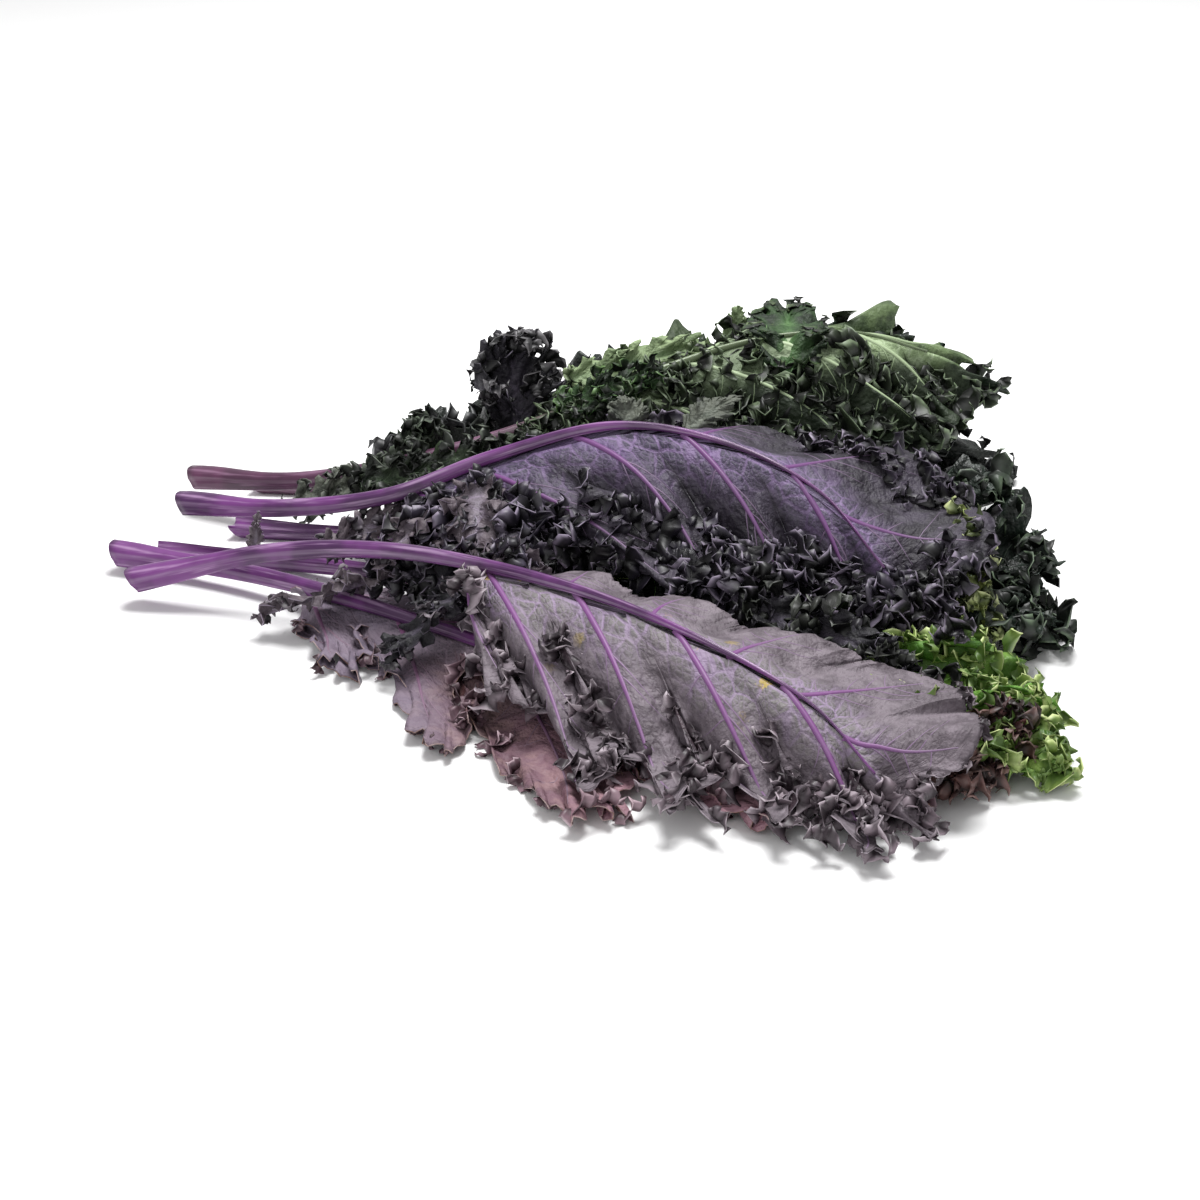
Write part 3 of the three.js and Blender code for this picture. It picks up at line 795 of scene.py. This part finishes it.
def end_tree(tree, put, got, geometry):
    """Makes the instances real and paints them with the tree's material."""
    real = node(tree, "GeometryNodeRealizeInstances", {"Geometry": geometry}).outputs["Geometry"]
    paint = node(tree, "GeometryNodeSetMaterial", {"Geometry": real, "Material": put.outputs["Material"]})
    tree.links.new(paint.outputs["Geometry"], got.inputs["Geometry"])


def vein_tree():
    """A round vein, as wide as its path says, along each path."""
    inputs = [GEOMETRY, ("Sides", "Int", 6), MATERIAL]
    tree, put, got = new_tree("GeometryNodeTree", "raised veins", inputs, [GEOMETRY])
    curve = node(tree, "GeometryNodeMeshToCurve", {"Mesh": put.outputs["Geometry"]}).outputs["Curve"]
    ring = {"Resolution": put.outputs["Sides"], "Radius": 1.0}
    section = node(tree, "GeometryNodeCurvePrimitiveCircle", ring).outputs["Curve"]
    sweep = node(tree, "GeometryNodeCurveToMesh", {
        "Curve": curve, "Profile Curve": section, "Scale": named_values(tree, "half_width"), "Fill Caps": True})
    smooth_shade = node(tree, "GeometryNodeSetShadeSmooth", {"Geometry": sweep.outputs["Mesh"]})
    end_tree(tree, put, got, smooth_shade.outputs["Geometry"])
    return tree


def made_by(tree, source, name, **values):
    """The mesh that a tree of geometry nodes makes from an object, as a piece of its own."""
    modifier = source.modifiers.new("make", "NODES")
    modifier.node_group = tree
    for item in tree.interface.items_tree:
        if item.item_type == "SOCKET" and item.in_out == "INPUT" and item.name in values:
            modifier[item.identifier] = values[item.name]
    bpy.context.view_layer.update()
    evaluated = source.evaluated_get(bpy.context.evaluated_depsgraph_get())
    mesh = bpy.data.meshes.new_from_object(evaluated)
    mesh.name = name
    source.modifiers.remove(modifier)
    old = source.data
    made = bpy.data.objects.new(name, mesh)
    scene.collection.objects.link(made)
    bpy.data.objects.remove(source)
    bpy.data.meshes.remove(old)
    return made


def vein_material(name, thick, thin):
    material, tree, skin, place = new_skin(name, 0.5)
    wide = span_node(tree, value_node(tree, "half_width"), 0.0003, 0.0014)
    uneven = math_node(tree, "MULTIPLY", wide, patches_node(tree, place, 60, 3, 0.3, 0.6, 0.7, 1.0))
    tree.links.new(mix_node(tree, uneven, colour(thin), colour(thick)), skin.inputs["Base Color"])
    return material


RAISED_VEINS = vein_tree()
VEIN_SKINS = {
    "front_leaf": ("#78487f", "#7c6681"), "under_leaf": ("#7c5276", "#7c6676"),
    "top_leaf": ("#6a3d74", "#68566e"), "pale_leaf": ("#a4b690", "#8ea07c"),
    "green_leaf": ("#8fb860", "#6f9a48"), "dark_leaf": ("#5c6a5c", "#4a564a"),
    "back_leaf": ("#55625a", "#465048"),
}
for name, (thick, thin) in VEIN_SKINS.items():
    source = vein_edges(f"{name}_vein_paths", LEAVES[name])
    paint = vein_material(f"{name} veins", thick, thin)
    made = made_by(RAISED_VEINS, source, f"{name}_veins", Material=paint)
    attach(made, "root")


# Margin curls
# Along the margin each blade is thrown into small upright curls with torn, toothed edges.
# They are one with the blade, and stand thickest where two lobes meet.
CURL_SHAPES = 5
CURL_LENGTH = 9
CURL_BASE = 5
CURL_THICKNESS = 0.35
CURL_ROWS = [0, 0.42, 0.78, 1]
CURL_COLUMNS = 16
CURL_FOLDS = 1.15
CURL_FOLD_HEIGHT = 3.4
CURL_ROLL = 1.5
CURL_TURN = 1.3
CURL_TILT = 0.55
CURL_SIZES = (0.65, 1.25)
CURL_GAP = 0.3  # over the table
PRESSED_LOW = 2.7
PRESSED_HIGH = 5
PRESSED_SIDE = 0.02
BOX_TOP = 101
BOX_SIDE = 229
CURLS = {  # rows: first and last place, reach, how many, size, how far they gather between lobes
    "front_leaf": [(5.7, 8.2, (0.9, 1), 46, 0.9, 0.3), (8.2, 10.6, (0.88, 1), 60, 0.9, 0.5),
                   (5.9, 10.4, (0.6, 0.86), 46, 0.8, 0.97),
                   (3.4, 5.7, (0.96, 1), 18, 0.5, 0),
                   (5.2, 5.8, (0.8, 1), 8, 0.8, 0)],
    "under_leaf": [(5.6, 9.2, (0.88, 0.98), 62, 0.8, 0.5), (9.2, 10.9, (0.92, 1), 12, 0.6, 0),
                   (6.5, 9.2, (0.6, 0.84), 12, 0.8, 0.9),
                   (3.5, 5.6, (0.9, 1), 14, 0.9, 0)],
    "green_leaf": [(3.6, 7.8, (0.86, 0.98), 90, 0.95, 0), (3.8, 7.4, (0.5, 0.86), 54, 0.9, 0)],
    "top_leaf": [(5.6, 10.95, (0.86, 1.02), 155, 1.1, 0.3), (5.8, 8.8, (0.66, 0.86), 60, 0.95, 0.5),
                 (8.8, 10.8, (0.66, 0.86), 16, 0.9, 0.9), (4.4, 6.0, (0.66, 1), 46, 0.95, 0),
                 (7.2, 9.2, (1.04, 1.25), 50, 1.15, 0), (9.2, 10.95, (1.04, 1.4), 56, 1.1, 0),
                 (10.9, 11, (0.3, 0.9), 8, 0.9, 0), (0.2, 5.6, (0.92, 1), 46, 0.8, 0.4),
                 (3.2, 4.2, (0.6, 0.94), 36, 0.9, 0)],
    "pale_leaf": [(0.2, 5.6, (0.9, 1), 42, 0.85, 0.2), (5.6, 10.9, (0.86, 1), 84, 1.25, 0),
                  (7.0, 10.6, (0.3, 0.86), 136, 1.25, 0), (8.0, 10.9, (0.05, 0.3), 52, 1.0, 0),
                  (5.9, 7.2, (0.5, 0.9), 34, 1.1, 0), (0.4, 2.8, (0.06, 0.6), 58, 1.05, 0),
                  (8.4, 10.9, (0.0, 0.06), 44, 0.8, 0), (5.0, 6.0, (0.75, 1), 18, 0.8, 0)],
    "dark_leaf": [(3.0, 8.2, (0.86, 0.98), 84, 1.15, 0.2), (3.4, 8.0, (0.68, 0.86), 34, 1.1, 0.5)],
    "back_leaf": [(2.6, 10.9, (0.86, 0.98), 72, 1.2, 0.2), (0.6, 2.6, (0.66, 0.86), 12, 1.0, 0)],
}


def curl_object(name, seed):
    """One curl: a small fan, its rim longer than its foot, so that it stands in folds."""
    rng = np.random.default_rng(seed)
    u = np.linspace(-1, 1, CURL_COLUMNS + 1)
    phase = rng.uniform(0, 6.28, 4)
    torn = 0.08 * rng.uniform(0.2, 1, len(u)) * (np.arange(len(u)) % 2)
    torn = 1 - torn - 0.3 * (1 - np.abs(np.sin(2 * np.pi * 0.9 * u + phase[3])) ** 0.7) - 0.42 * u**4
    points = []
    for v in CURL_ROWS:
        fold = 2 * np.pi * CURL_FOLDS * u + phase[0]
        fan = 0.95 * u + 0.2 * v * np.sin(2 * fold)
        long = CURL_LENGTH * v * mix(1, torn, v**3)
        x = CURL_BASE * u + long * np.sin(fan)
        y = long * np.cos(fan)
        z = CURL_FOLD_HEIGHT * v**1.1 * np.sin(fold)
        z += 1.1 * v**2 * np.sin(2 * np.pi * 2.4 * u + phase[2])
        roll = CURL_ROLL * v**1.4 * np.sin(1.6 * u + phase[1])
        rolled = (y * np.cos(roll) - z * np.sin(roll), y * np.sin(roll) + z * np.cos(roll))
        points.append(np.stack([x, *rolled], axis=1))
    points = np.concatenate(points)
    wide = CURL_COLUMNS + 1
    faces = []
    for i in range(len(CURL_ROWS) - 1):
        for j in range(CURL_COLUMNS):
            a = i * wide + j
            faces.append((a, a + 1, a + 1 + wide, a + wide))
    last = (len(CURL_ROWS) - 1) * wide
    outline = list(range(wide)) + [i * wide + wide - 1 for i in range(1, len(CURL_ROWS))]
    outline += [last + j for j in range(wide - 2, -1, -1)]
    outline += [i * wide for i in range(len(CURL_ROWS) - 2, 0, -1)]
    made = mesh_object(name, *thickened(points, vertex_normals(points, faces), CURL_THICKNESS, faces, outline))
    give(made.data, "edge", np.tile(np.repeat(CURL_ROWS, wide), 2))
    return made


def curl_points(name, leaf, rows):
    """Where a blade's curls stand, with the way each one points, its face, its size and its shape."""
    rng = np.random.default_rng(900 + leaf["seed"])
    at, ahead, face, size = [], [], [], []
    for first, last, span, count, scale, gather in rows:
        place = np.linspace(first, last, count) + rng.uniform(-0.4, 0.4, count) * (last - first) / count
        place = place - gather * np.sin(2 * np.pi * place) / (2 * np.pi)
        reach = rng.uniform(*span, count)
        p, _, _, _ = blade_at(leaf, place, reach)
        q, _, _, _ = blade_at(leaf, place, reach + 0.02)
        r, _, _, _ = blade_at(leaf, place + 0.01, reach)
        out = unit(q - p)
        side = unit(r - p)
        up = unit(np.cross(out, side))
        turn = rng.uniform(-CURL_TURN, CURL_TURN, count)[:, None]
        tilt = rng.normal(0, CURL_TILT, count)[:, None]
        out, up = np.cos(tilt) * out + np.sin(tilt) * up, np.cos(tilt) * up - np.sin(tilt) * out
        side = np.cross(out, up)
        up = np.cos(turn) * up + np.sin(turn) * side
        at.append(p)
        ahead.append(out)
        face.append(up)
        size.append(scale * rng.uniform(*CURL_SIZES, count))
    at, ahead, face, size = (np.concatenate(x) for x in (at, ahead, face, size))
    made = mesh_object(name, at, [])
    give(made.data, "ahead", ahead, "FLOAT_VECTOR")
    give(made.data, "face", face, "FLOAT_VECTOR")
    give(made.data, "size", size)
    give(made.data, "kind", rng.integers(0, CURL_SHAPES, len(at)), "INT")
    return made


def curl_tree():
    labels = [f"Shape {k}" for k in range(CURL_SHAPES)]
    inputs = [GEOMETRY, *((label, "Object") for label in labels), MATERIAL]
    tree, put, got = new_tree("GeometryNodeTree", "curls on a margin", inputs, [GEOMETRY])
    shapes = node(tree, "GeometryNodeJoinGeometry")
    for label in labels:
        shape = node(tree, "GeometryNodeObjectInfo", {"Object": put.outputs[label], "As Instance": True})
        tree.links.new(shape.outputs["Geometry"], shapes.inputs[0])
    ahead, face = (named_values(tree, label, "FLOAT_VECTOR") for label in ("ahead", "face"))
    turn = node(tree, "FunctionNodeAxesToRotation", {0: ahead, 1: face}, primary_axis="Y", secondary_axis="Z")
    place = node(tree, "GeometryNodeInstanceOnPoints", {
        "Points": put.outputs["Geometry"], "Instance": shapes.outputs[0], "Pick Instance": True,
        "Instance Index": named_values(tree, "kind", "INT"), "Rotation": turn.outputs[0],
        "Scale": named_values(tree, "size")})
    end_tree(tree, put, got, place.outputs["Instances"])
    return tree


def curl_material(name, deep_shade, outer, edge):
    """A curl's skin: dark at its foot and lighter outwards, which is painted shade, and pale in clumps and
    along its rim.
    """
    material, tree, skin, place = new_skin(name, 0.5)
    near = value_node(tree, "edge")
    outwards = math_node(tree, "MULTIPLY", span_node(tree, near, 0.25, 0.85),
                         patches_node(tree, place, 55, 3, 0.35, 0.65))
    base = mix_node(tree, outwards, colour(deep_shade), colour(outer))
    clumps = math_node(tree, "MULTIPLY", patches_node(tree, place, 22, 2, 0.5, 0.68, 0, 0.4), outwards)
    base = mix_node(tree, clumps, base, colour(edge))
    rim = math_node(tree, "MULTIPLY", span_node(tree, near, 0.82, 1.0),
                    patches_node(tree, place, 110, 2, 0.42, 0.6))
    tree.links.new(mix_node(tree, rim, base, colour(edge)), skin.inputs["Base Color"])
    return material


def kept_in_box(made):
    """What would reach the table or leave the box of the solids is pressed back, softly."""
    vertices = made.data.vertices
    co = np.empty(len(vertices) * 3, np.float32)
    vertices.foreach_get("co", co)
    co = co.reshape(-1, 3) / MM
    z = co[:, 2]
    low, high = CURL_GAP + PRESSED_LOW, BOX_TOP - PRESSED_HIGH
    z = np.where(z < low, CURL_GAP + PRESSED_LOW * np.exp((np.minimum(z, low) - low) / PRESSED_LOW), z)
    z = np.where(z > high, BOX_TOP - PRESSED_HIGH * np.exp((high - np.maximum(z, high)) / PRESSED_HIGH), z)
    co[:, 2] = z
    inside = np.clip(co[:, :2], -BOX_SIDE, BOX_SIDE)
    co[:, :2] = inside + PRESSED_SIDE * (co[:, :2] - inside)
    vertices.foreach_set("co", (co * MM).astype(np.float32).ravel())


def curls_object(name, leaf, rows, tones):
    """All the curls of one blade."""
    source = curl_points(f"{name}_curl_places", leaf, rows)
    inputs = {f"Shape {k}": shape for k, shape in enumerate(shapes)}
    paint = curl_material(f"{name} curls", *tones)
    made = made_by(CURLS_ON_MARGIN, source, f"{name}_curls", Material=paint, **inputs)
    kept_in_box(made)
    return made


# Of each blade's curls: the dark of their foot, which is painted shade, then their own tone and their pale rim.
CURL_SKINS = {
    "front_leaf": ("#30272d", "#80727b", "#aca0a8"), "under_leaf": ("#3a262d", "#866b76", "#b8a2aa"),
    "green_leaf": ("#4a6526", "#889f52", "#c6d292"), "top_leaf": ("#070608", "#2e2936", "#84798c"),
    "pale_leaf": ("#070a06", "#28331f", "#6c7c60"), "dark_leaf": ("#080c08", "#243024", "#60705a"),
    "back_leaf": ("#09090b", "#28292c", "#686a6a"),
}
shapes = [curl_object(f"curl_shape_{k}", 300 + k) for k in range(CURL_SHAPES)]
CURLS_ON_MARGIN = curl_tree()
for name, rows in CURLS.items():
    made = curls_object(name, LEAVES[name], rows, CURL_SKINS[name])
    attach(made, "root")


# Leaflets
# Small leaves and torn lobes show between the large ones: most grow low down on the stems, and
# a few stand up at the back. They are thin and frilled like the rest. A few near-black ones are
# painted shade, filling the dark gaps between the large leaves.
LEAFLET_ROWS = [(0, 6), (0.2, 12), (0.4, 24), (0.58, 24), (0.74, 48), (0.88, 48), (1, 48)]
BLACK_VIOLET = ("#45404b", "#2a2730", "#5c5464", ("#131217", "#2b2830"))
LEAF_GREEN = ("#3c5c30", "#26401f", "#587a48", ("#182416", "#2c4424"))
BLACK_GREEN = ("#2c3a28", "#1a2418", "#55664c", ("#10170f", "#27331f"))
GREY_GREEN = ("#5c6258", "#40463e", "#7c8074", ("#30342e", "#565a50"))
GREY_VIOLET = ("#776f78", "#5a525c", "#8a7c90", ("#4a4048", "#6c6268"))
PALE_GREEN = ("#93a880", "#7a9069", "#adc09a", ("#6a7c58", "#8a9c74"))
YELLOW_GREEN = ("#8c9a5c", "#66743c", "#aab47c", ("#4c5a28", "#94a058"))
RED_BROWN = ("#6c4c4c", "#4c3034", "#84666a", ("#3c2426", "#6a4440"))
# Of each: its line and half widths, its turn about the line, the scale of its frill, its skin, and
# its curls' tones (the first a painted shade at their foot), how many they are on the margin and
# inside it, and their size.
LEAFLETS = {
    "standing_rosette": (
        [[-38, 158, 40], [-43, 168, 66], [-46, 178, 86]], (9, 24, 23), 0, 0.7, BLACK_VIOLET,
        ("#121213", "#444245", "#827f82"), (50, 0), 0.85),
    "left_rosette": (
        [[-94, 128, 18], [-92, 137, 38], [-90, 148, 58]], (9, 14, 13), 0, 0.4, BLACK_GREEN,
        ("#0b0f0a", "#2a3326", "#606c5a"), (20, 8), 0.8),
    "dark_lobe": (
        [[94, 158, 82], [96, 178, 96], [98, 214, 97]], (18, 26, 24), 0, 0.5, LEAF_GREEN,
        ("#0a0e09", "#2f4424", "#66784f"), (24, 0), 0.8),
    "pale_lobe": (
        [[-16, 164, 77], [16, 170, 83], [50, 184, 89]], (9, 12, 12), 58, 0.35, PALE_GREEN,
        ("#3c4a30", "#7c8c66", "#a4b48c"), (6, 0), 0.5),
    "green_gap_frill": (
        [[-16, 140, 70], [4, 146, 77], [30, 152, 82]], (7, 10, 10), 40, 0.4, LEAF_GREEN,
        ("#0c140a", "#2f4a24", "#5f7f48"), (24, 6), 0.75),
    "pale_stub": (
        [[72, 214, 62], [72, 216, 78], [72, 218, 94]], (10, 10, 10), 0, 0.1, PALE_GREEN, None),
    "first_nick": (
        [[13, 70, 82], [13, 74, 91], [11, 79, 99]], (6, 12, 8), 0, 0.15, GREY_GREEN, None),
    "second_nick": (
        [[40, 68, 86], [50, 73, 93], [62, 80, 99]], (6, 12, 8), 30, 0.15, GREY_GREEN, None),
    "stem_leaflet": (
        [[-166, 58, 24], [-164.5, 60, 33], [-163.5, 64, 45]], (4, 5.5, 3.5), 0, 0.12, GREY_VIOLET, None),
    "basal_frill": (
        [[-152, 110, 28], [-128, 121, 34], [-102, 132, 40]], (9, 12, 12), 40, 0.4, GREY_GREEN,
        ("#141613", "#454b42", "#7c8076"), (16, 6), 0.6),
    "cover_frill": (
        [[-120, 118, 38], [-84, 120, 46], [-40, 124, 58]], (10, 13, 12), 40, 0.4, BLACK_GREEN,
        ("#0d110c", "#2f362c", "#6a7264"), (36, 14), 0.8),
    "grey_leaflet": (
        [[-134, 68, 24], [-117, 76, 30], [-98, 84, 36]], (8, 10, 10), 45, 0.35, GREY_VIOLET,
        ("#1c191d", "#5c545e", "#8c848c"), (8, 3), 0.6),
    "yellow_frill": (
        [[166, 30, 62], [171, 6, 50], [175, -20, 28]], (7, 9, 9), 70, 0.4, YELLOW_GREEN,
        ("#343f1c", "#909c60", "#c8cf98"), (32, 12), 0.75),
    "hanging_lobe": (
        [[-92, 40, 26], [-122, 32, 20], [-156, 24, 12]], (12, 17, 14), 30, 0.4, GREY_VIOLET,
        ("#2a252b", "#6e656c", "#948c92"), (7, 0), 0.55),
    # Painted shade: gap_frill is a near-black frill that fills the dark gap between the front and top leaves.
    "gap_frill": (
        [[-104, 52, 26], [-78, 26, 28], [-46, 6, 30]], (10, 14, 14), 35, 0.5, BLACK_VIOLET,
        ("#070608", "#2a2630", "#746c7a"), (20, 10), 1.0),
    "high_gap_frill": (
        [[-92, 56, 42], [-62, 32, 43], [-30, 6, 44]], (8, 13, 14), 35, 0.5, GREY_VIOLET,
        ("#070608", "#464050", "#8f8496"), (20, 4), 0.95),
    "top_base_lobe": (
        [[-72, 62, 52], [-88, 48, 44], [-100, 36, 34]], (12, 17, 15), 20, 0.4, GREY_VIOLET,
        ("#100e12", "#464050", "#8f8496"), (9, 0), 0.7),
    "top_mid_lobe": (
        [[-56, 60, 62], [-58, 38, 56], [-56, 18, 42]], (12, 18, 16), 0, 0.45, GREY_VIOLET,
        ("#100e12", "#464050", "#8f8496"), (13, 0), 0.75),
    # Painted shade: shadow_frill is a near-black frill along the front leaf's far margin, in the dark gap under
    # the top leaf.
    "shadow_frill": (
        [[48, -28, 30], [96, -66, 26], [150, -80, 22]], (9, 12, 12), 0, 0.5, BLACK_VIOLET,
        ("#050506", "#1d2018", "#52564c"), (34, 14), 1.0),
    "green_frill": (
        [[150, -100, 9], [170, -110, 9], [188, -116, 6]], (12, 17, 15), 0, 0.5,
        ("#62873a", "#486b2c", "#92ab62", ("#4c6b28", "#829f4c")), ("#4a6526", "#889f52", "#c6d292"),
        (26, 10), 0.9),
    "base_lobe": (
        [[-62, 0, 36], [-78, -12, 26], [-92, -22, 12]], (8, 12, 12), 10, 0.45, BLACK_VIOLET,
        ("#221e23", "#575058", "#8a8088"), (10, 0), 0.65),
    # Painted shade: under_gap_frill is a near-black frill in the dark gap below the top leaf.
    "under_gap_frill": (
        [[70, -34, 40], [100, -58, 40], [128, -74, 34]], (9, 12, 11), 30, 0.5, BLACK_VIOLET,
        ("#060607", "#1d2018", "#585c54"), (22, 8), 0.9),
    "red_frill": (
        [[146, -134, 5], [160, -118, 12], [173, -102, 22]], (9, 13, 13), 40, 0.4, RED_BROWN,
        ("#20100f", "#6a4a46", "#937872"), (30, 14), 0.9),
}
for name, (line, widths, turn, scale, tones, *curls) in LEAFLETS.items():
    leaf = dict(
        under_up=False, seed=20 + len(name), start=0, line=line, width=(widths, widths, 0.5 * widths[1]),
        slope=([8, 10, 12], [8, 10, 12], 8), bed=([0, 0, 0], [0, 0, 0], 0), rib_slope=-4, frill=0.9,
        roll=(turn, turn), lobes=2, scale=scale, rows=LEAFLET_ROWS, spread=(8, 8))
    made = blade_object(name, leaf, [
        blade_material(f"{name} underside", *tones),
        blade_material(f"{name} upper side", *tones),
        rim_material(f"{name} rim", tones[2], tones[0]),
    ])
    kept_in_box(made)
    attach(made, "root")
    if curls == [None]:
        continue
    curl_tones, (on_margin, inside), size = curls
    rows = [(0.1, 4.9, (0.75, 1), on_margin, size, 0), (0.3, 4.7, (0.2, 0.7), inside, size, 0)]
    made = curls_object(name, leaf, rows, curl_tones)
    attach(made, "root")
for shape in shapes:
    bpy.data.objects.remove(shape)


# Table and light
# A plain white table top under soft, wide studio light from above and from the left.
TABLE_HALF = 4000
table_corners = [(x * TABLE_HALF, y * TABLE_HALF, 0) for x, y in ((-1, -1), (1, -1), (1, 1), (-1, 1))]
table_paint, _, table_skin, _ = new_skin("white table", 0.55)
table_skin.inputs["Base Color"].default_value = (0.93, 0.93, 0.93, 1)
table_top = mesh_object("table", table_corners, [(0, 1, 2, 3)], materials=[table_paint])

world = bpy.data.worlds.new("studio")
world.use_nodes = True
world.node_tree.nodes["Background"].inputs["Color"].default_value = (1, 1, 1, 1)
world.node_tree.nodes["Background"].inputs["Strength"].default_value = 0.45
scene.world = world


def soft_light(name, place, size, power):
    data = bpy.data.lights.new(name, "AREA")
    data.shape = "SQUARE"
    data.size = size
    data.energy = power
    lamp = bpy.data.objects.new(name, data)
    lamp.location = place
    lamp.rotation_euler = (-Vector(place)).to_track_quat("-Z", "Y").to_euler()
    scene.collection.objects.link(lamp)


soft_light("key", (0.15, 0.45, 1.6), 0.8, 40)
soft_light("fill", (-0.7, -1.5, 1.0), 1.4, 9)
scene.view_settings.view_transform = "Standard"
